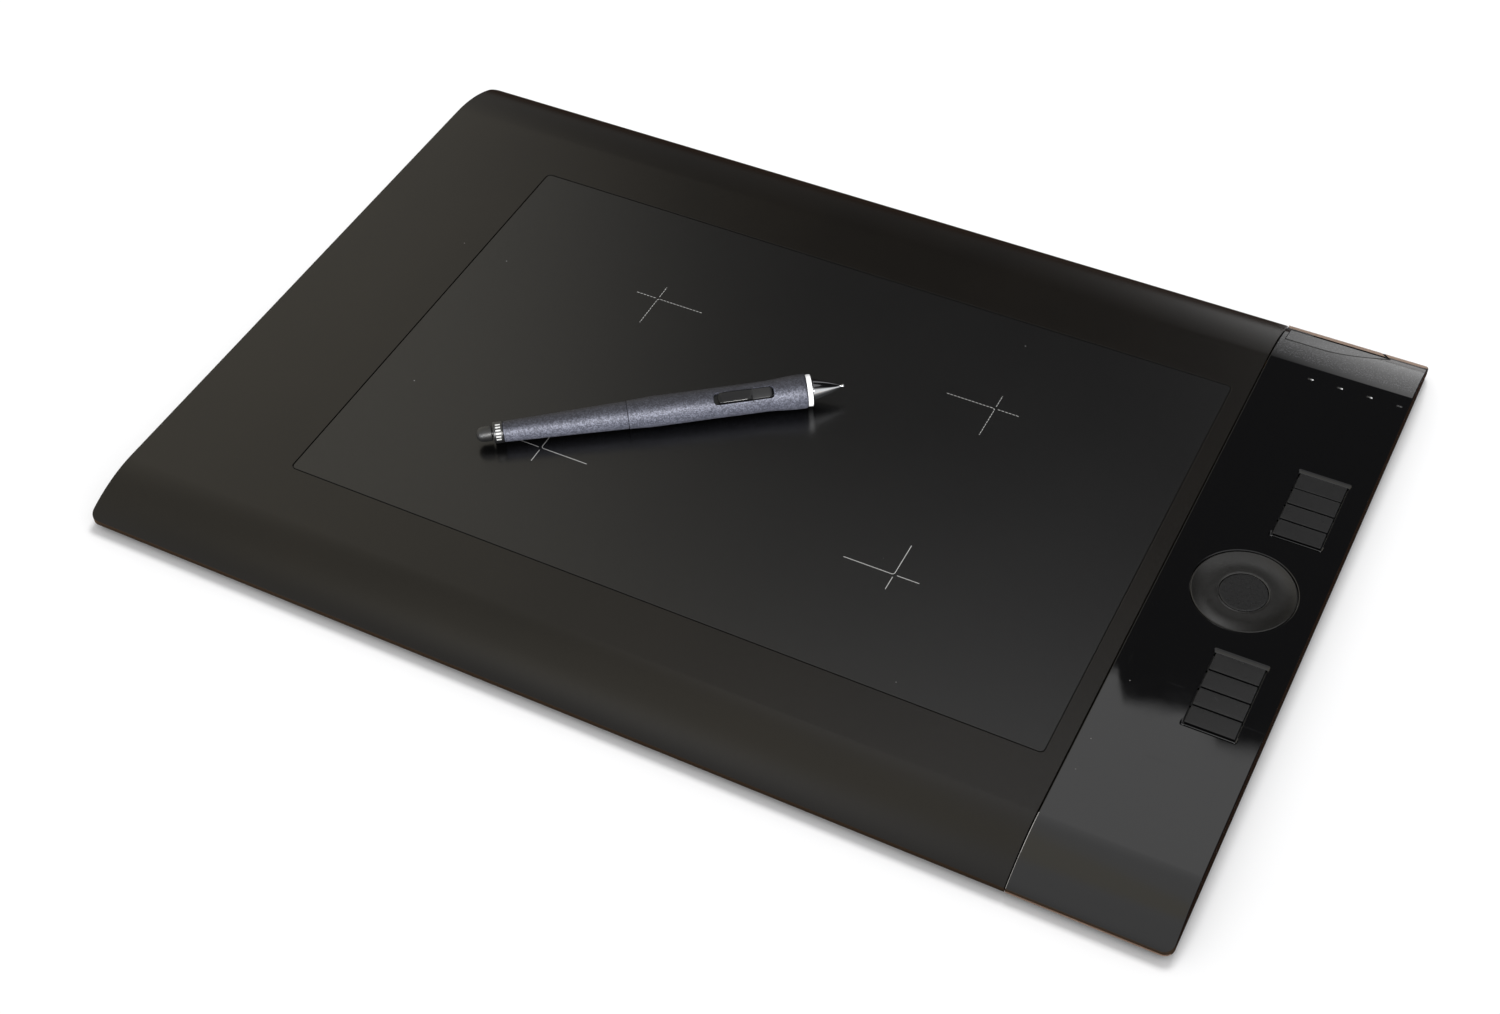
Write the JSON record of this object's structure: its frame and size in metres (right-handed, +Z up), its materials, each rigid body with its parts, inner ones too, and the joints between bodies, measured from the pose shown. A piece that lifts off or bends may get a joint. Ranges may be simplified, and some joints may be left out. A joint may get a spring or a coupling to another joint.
{
  "type": "pen drawing tablet",
  "caption": "Wide flat drawing tablet with rolled front and back edges, satin sheet, glossy strip with keys and a touch ring, and a tapered pen.",
  "frame": {"origin": "centre of the base, in the plane the rubber feet stand on", "axes": "+X to the right along the long side, towards the control strip; +Y to the back; +Z up"},
  "size_m": [0.474, 0.32, 0.0284],
  "materials": {
    "housing_matte": "fine moulded texture, warm charcoal",
    "base_matte": "moulded, dark grey",
    "sheet_satin": "satin drawing film with fine grain",
    "strip_gloss": "piano black, polished",
    "key_matte": "fine matte, charcoal",
    "ring_matte": "fine matte, charcoal",
    "foot_rubber": "soft black rubber",
    "light_guide": "clear light pipe, unlit",
    "display_black": "dark display glass, unlit",
    "board_green": "printed circuit board with solder mask",
    "plated_steel": "zinc plated",
    "dome_steel": "thin spring steel",
    "flex_amber": "polyimide flat cable",
    "port_gloss": "polished black with a warm edge",
    "pen_metallic": "blue-grey metallic satin paint, speckled",
    "pen_black": "black, semi-gloss",
    "pen_switch_black": "black, half gloss and half matte",
    "pen_white": "white",
    "nose_chrome": "polished",
    "tip_steel": "polished ball end",
    "copper_coil": "enamelled winding on a ferrite sleeve"
  },
  "bodies": {
    "tablet": {"top_case": "housing_matte", "bottom_case": "base_matte", "work_sheet": "sheet_satin", "control_strip": "strip_gloss", "touch_ring": "ring_matte", "ring_sensor": "board_green", "key_board": "board_green", "key_domes": "dome_steel", "indicator_lights": "light_guide", "label_displays": "display_black", "main_board": "board_green", "usb_socket": "plated_steel", "flat_cables": "flex_amber", "sensor_board": "board_green", "shield_plate": "plated_steel", "rubber_feet": "foot_rubber", "case_screws": "plated_steel", "board_screws": "plated_steel"},
    "key_1": {"key_1": "key_matte"},
    "key_2": {"key_2": "key_matte"},
    "key_3": {"key_3": "key_matte"},
    "key_4": {"key_4": "key_matte"},
    "key_5": {"key_5": "key_matte"},
    "key_6": {"key_6": "key_matte"},
    "key_7": {"key_7": "key_matte"},
    "key_8": {"key_8": "key_matte"},
    "ring_button": {"ring_button": "key_matte"},
    "port_cover": {"port_cover": "port_gloss"},
    "pen": {"pen_front_barrel": "pen_metallic", "pen_rear_barrel": "pen_metallic", "pen_tail_band": "pen_black", "pen_ring": "pen_white", "pen_nose_cone": "nose_chrome", "pen_coil": "copper_coil", "pen_board": "board_green", "pen_pressure_sensor": "plated_steel"},
    "pen_side_switch": {"pen_side_switch": "pen_switch_black"},
    "pen_tip": {"pen_tip": "tip_steel"},
    "pen_eraser": {"pen_eraser": "pen_black"}
  },
  "joints": [
    {"name": "key_1_press", "type": "slide", "parent": "tablet", "child": "key_1", "axis": [0, 0, 1], "range_m": [-0.0006, 0], "stiffness_N_per_m": 500, "springref_m": 0.0004},
    {"name": "key_2_press", "type": "slide", "parent": "tablet", "child": "key_2", "axis": [0, 0, 1], "range_m": [-0.0006, 0], "stiffness_N_per_m": 500, "springref_m": 0.0004},
    {"name": "key_3_press", "type": "slide", "parent": "tablet", "child": "key_3", "axis": [0, 0, 1], "range_m": [-0.0006, 0], "stiffness_N_per_m": 500, "springref_m": 0.0004},
    {"name": "key_4_press", "type": "slide", "parent": "tablet", "child": "key_4", "axis": [0, 0, 1], "range_m": [-0.0006, 0], "stiffness_N_per_m": 500, "springref_m": 0.0004},
    {"name": "key_5_press", "type": "slide", "parent": "tablet", "child": "key_5", "axis": [0, 0, 1], "range_m": [-0.0006, 0], "stiffness_N_per_m": 500, "springref_m": 0.0004},
    {"name": "key_6_press", "type": "slide", "parent": "tablet", "child": "key_6", "axis": [0, 0, 1], "range_m": [-0.0006, 0], "stiffness_N_per_m": 500, "springref_m": 0.0004},
    {"name": "key_7_press", "type": "slide", "parent": "tablet", "child": "key_7", "axis": [0, 0, 1], "range_m": [-0.0006, 0], "stiffness_N_per_m": 500, "springref_m": 0.0004},
    {"name": "key_8_press", "type": "slide", "parent": "tablet", "child": "key_8", "axis": [0, 0, 1], "range_m": [-0.0006, 0], "stiffness_N_per_m": 500, "springref_m": 0.0004},
    {"name": "ring_button_press", "type": "slide", "parent": "tablet", "child": "ring_button", "axis": [0, 0, 1], "range_m": [-0.0005, 0], "stiffness_N_per_m": 500, "springref_m": 0.0004},
    {"name": "port_cover_slide", "type": "slide", "parent": "tablet", "child": "port_cover", "axis": [1, 0, 0], "range_m": [-0.012, 0]},
    {"name": "pen_lift", "type": "slide", "parent": "tablet", "child": "pen", "axis": [0, 0, 1], "range_m": [0, 0.06]},
    {"name": "pen_switch_rock", "type": "hinge", "parent": "pen", "child": "pen_side_switch", "pos_m": [-0.00945, 0.00453, 0.02541], "axis": [-0.5043, 0.7041, 0.5], "range_deg": [-2, 2], "stiffness_Nm_per_rad": 0.2},
    {"name": "pen_tip_press", "type": "slide", "parent": "pen", "child": "pen_tip", "axis": [0.8175, 0.5758, 0.0136], "range_m": [-0.0003, 0], "stiffness_N_per_m": 800, "springref_m": 0.0002},
    {"name": "pen_eraser_press", "type": "slide", "parent": "pen", "child": "pen_eraser", "axis": [0.8175, 0.5758, 0.0136], "range_m": [0, 0.0005], "stiffness_N_per_m": 400, "springref_m": -0.0004}
  ]
}
